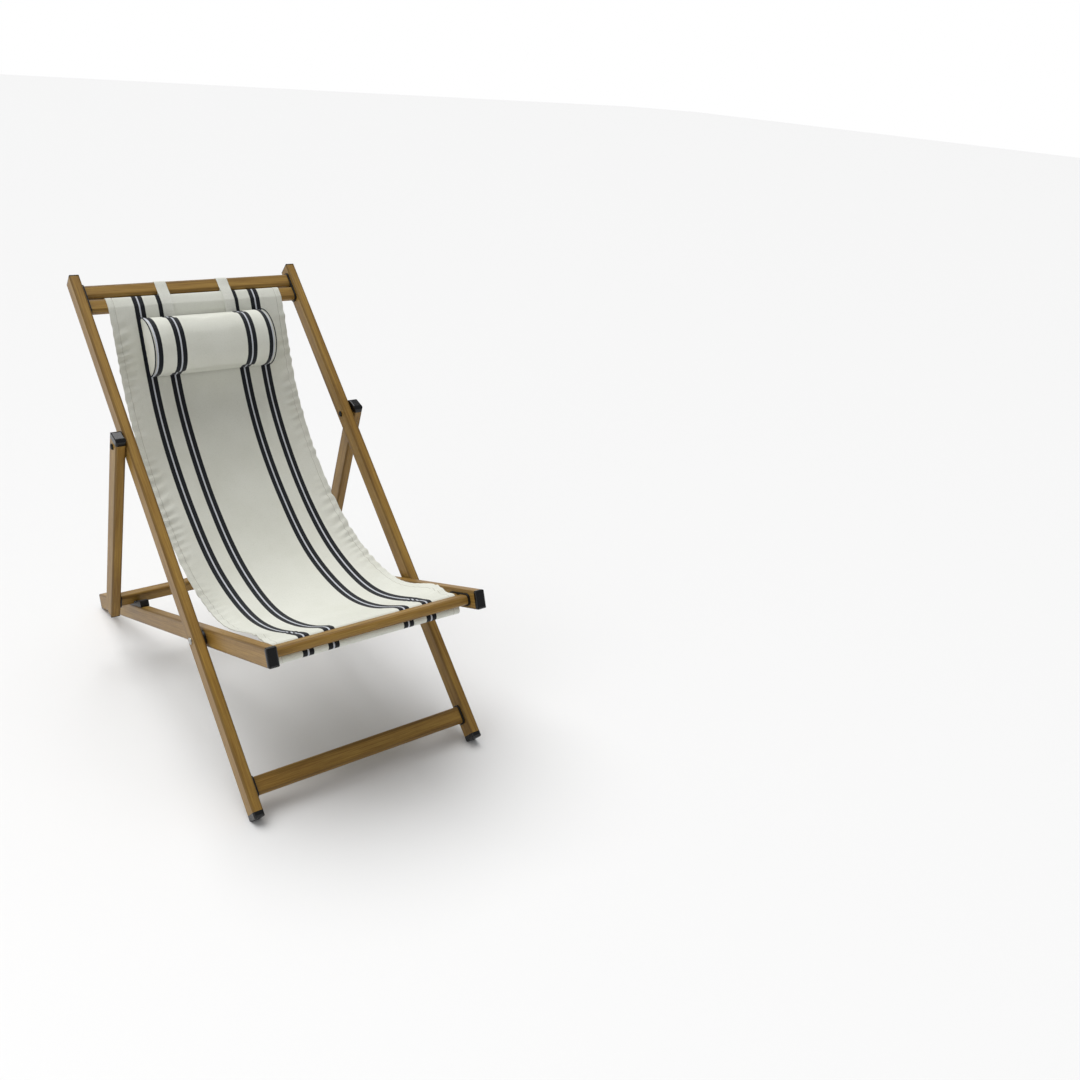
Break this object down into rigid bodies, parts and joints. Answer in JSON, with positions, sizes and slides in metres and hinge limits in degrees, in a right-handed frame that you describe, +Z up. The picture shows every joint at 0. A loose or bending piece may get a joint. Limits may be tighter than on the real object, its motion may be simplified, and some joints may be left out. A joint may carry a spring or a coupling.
{
  "type": "folding sling chair",
  "caption": "Folding sling chair: crossed tube frames, rear struts standing in notch blocks, a striped cloth hung between bars and a half-round head bolster.",
  "frame": {"origin": "middle of the bounding box in X and Y, on the floor", "axes": "+Z up, the chair faces -Y, +X is the sitter's left"},
  "size_m": [0.5868, 1.0618, 0.8921],
  "materials": {
    "tube_finish": "satin printed wood-grain finish on aluminium tube",
    "cap_plastic": "glossy black moulded plastic",
    "collar_plastic": "satin black moulded plastic",
    "rod_metal": "bare tube",
    "bolt_metal": "bright plated",
    "hinge_metal": "black oxide",
    "sling_cloth": "off-white canvas with dark woven stripes",
    "bolster_cloth": "off-white canvas with dark woven stripes",
    "strap_cloth": "off-white webbing"
  },
  "bodies": {
    "back_frame": {"back_rail_left": "tube_finish", "back_rail_right": "tube_finish", "bolster": "bolster_cloth", "bolster_strap_left": "strap_cloth", "bolster_strap_right": "strap_cloth", "foot_bar": "tube_finish", "foot_cap_left": "cap_plastic", "foot_cap_right": "cap_plastic", "foot_collar_left": "collar_plastic", "foot_collar_right": "collar_plastic", "hinge_bolt_left": "hinge_metal", "hinge_bolt_right": "hinge_metal", "hinge_washer_left": "collar_plastic", "hinge_washer_right": "collar_plastic", "pivot_bolt_left": "bolt_metal", "pivot_bolt_right": "bolt_metal", "pivot_nut_left": "bolt_metal", "pivot_nut_right": "bolt_metal", "pivot_spacer_left": "collar_plastic", "pivot_spacer_right": "collar_plastic", "sling": "sling_cloth", "top_bar_lower": "tube_finish", "top_bar_upper": "tube_finish", "top_collar_left": "collar_plastic", "top_collar_right": "collar_plastic", "top_plug_left": "cap_plastic", "top_plug_right": "cap_plastic", "top_rod": "rod_metal"},
    "seat_frame": {"notch_block_left": "collar_plastic", "notch_block_right": "collar_plastic", "seat_bar_front": "tube_finish", "seat_bar_rear": "tube_finish", "seat_cap_left": "cap_plastic", "seat_cap_right": "cap_plastic", "seat_collar_left": "collar_plastic", "seat_collar_right": "collar_plastic", "seat_plug_left": "cap_plastic", "seat_plug_right": "cap_plastic", "seat_rail_left": "tube_finish", "seat_rail_right": "tube_finish", "seat_rod": "rod_metal"},
    "strut_frame": {"strut_bar": "tube_finish", "strut_cap_left": "cap_plastic", "strut_cap_right": "cap_plastic", "strut_collar_left": "collar_plastic", "strut_collar_right": "collar_plastic", "strut_left": "tube_finish", "strut_plug_left": "cap_plastic", "strut_plug_right": "cap_plastic", "strut_right": "tube_finish"}
  },
  "joints": [
    {"name": "seat_fold", "type": "hinge", "parent": "back_frame", "child": "seat_frame", "pos_m": [0, -0.21684, 0.27568], "axis": [1, 0, 0], "range_deg": [0, 56.5], "deforming": ["sling"]},
    {"name": "strut_fold", "type": "hinge", "parent": "back_frame", "child": "strut_frame", "pos_m": [0, 0.10775, 0.59023], "axis": [1, 0, 0], "range_deg": [0, 113]}
  ],
  "couplings": [
    {"joint": "strut_fold", "follows": "seat_fold", "ratio": 2}
  ]
}
